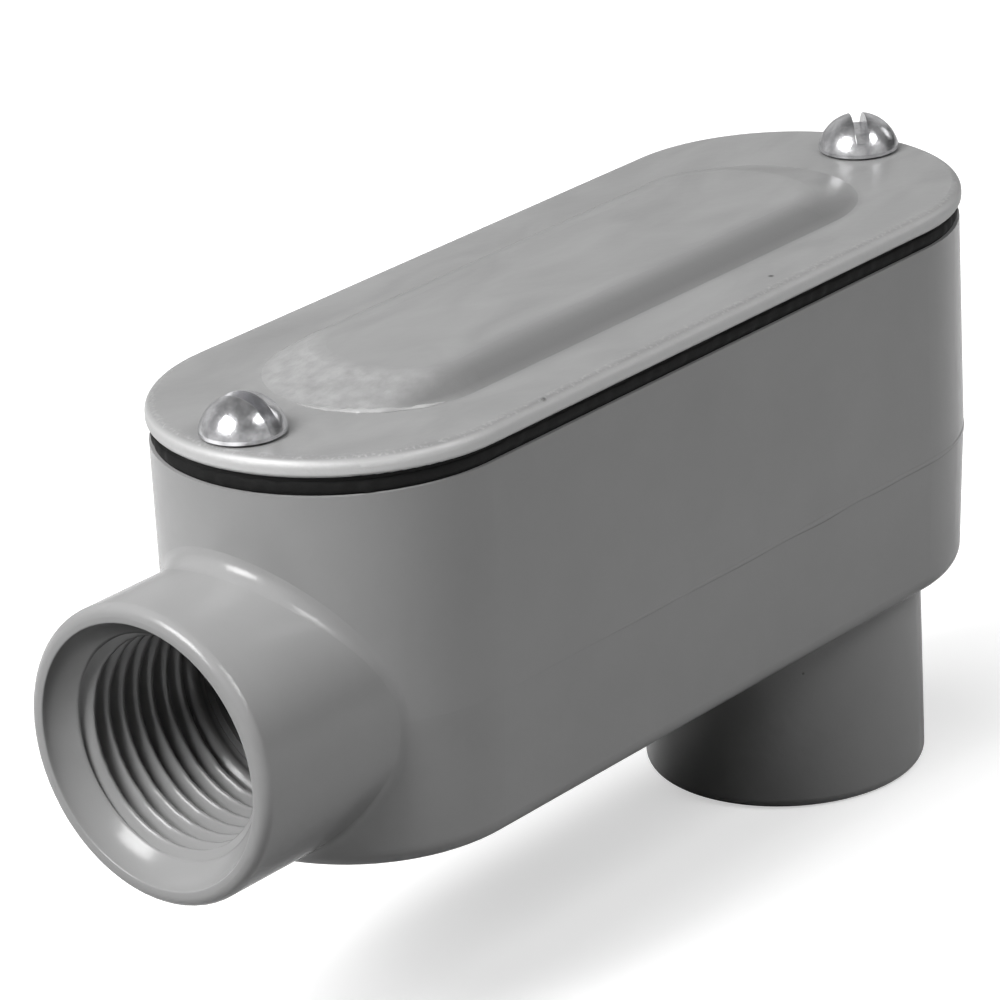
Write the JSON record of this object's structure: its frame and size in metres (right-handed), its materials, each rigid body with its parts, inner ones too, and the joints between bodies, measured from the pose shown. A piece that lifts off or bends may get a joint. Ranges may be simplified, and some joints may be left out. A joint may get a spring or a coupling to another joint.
{
  "type": "conduit body",
  "caption": "Round-ended cast pull box for half-inch threaded conduit, one hub on the end and one on the back, with a gasketed raised cover held by slotted screws.",
  "frame": {"origin": "on the back hub's axis, at the plane where that hub's full thread starts, 2.6 mm in from its mouth", "axes": "+Z out of the cover, against the back hub's outlet; +X from the front hub along the trough to the far end; the trough is symmetric about the XZ plane"},
  "size_m": [0.1068, 0.034, 0.0609],
  "materials": {
    "casting_enamel": "satin",
    "gasket_rubber": "matte",
    "cover_enamel": "satin",
    "plated_steel": "polished"
  },
  "bodies": {
    "casting": {"housing": "casting_enamel", "cover_gasket": "gasket_rubber"},
    "lid": {"cover": "cover_enamel"},
    "front_screw": {"cover_screw_front": "plated_steel"},
    "rear_screw": {"cover_screw_rear": "plated_steel"}
  },
  "joints": [
    {"name": "cover_lift", "type": "slide", "parent": "casting", "child": "lid", "axis": [0, 0, 1], "range_m": [0, 0.04]},
    {"name": "screw_front_turn", "type": "hinge", "parent": "lid", "child": "front_screw", "pos_m": [-0.0729, 0, 0.0549], "axis": [0, 0, 1], "continuous": true},
    {"name": "screw_rear_turn", "type": "hinge", "parent": "lid", "child": "rear_screw", "pos_m": [0.0147, 0, 0.0549], "axis": [0, 0, 1], "continuous": true}
  ]
}
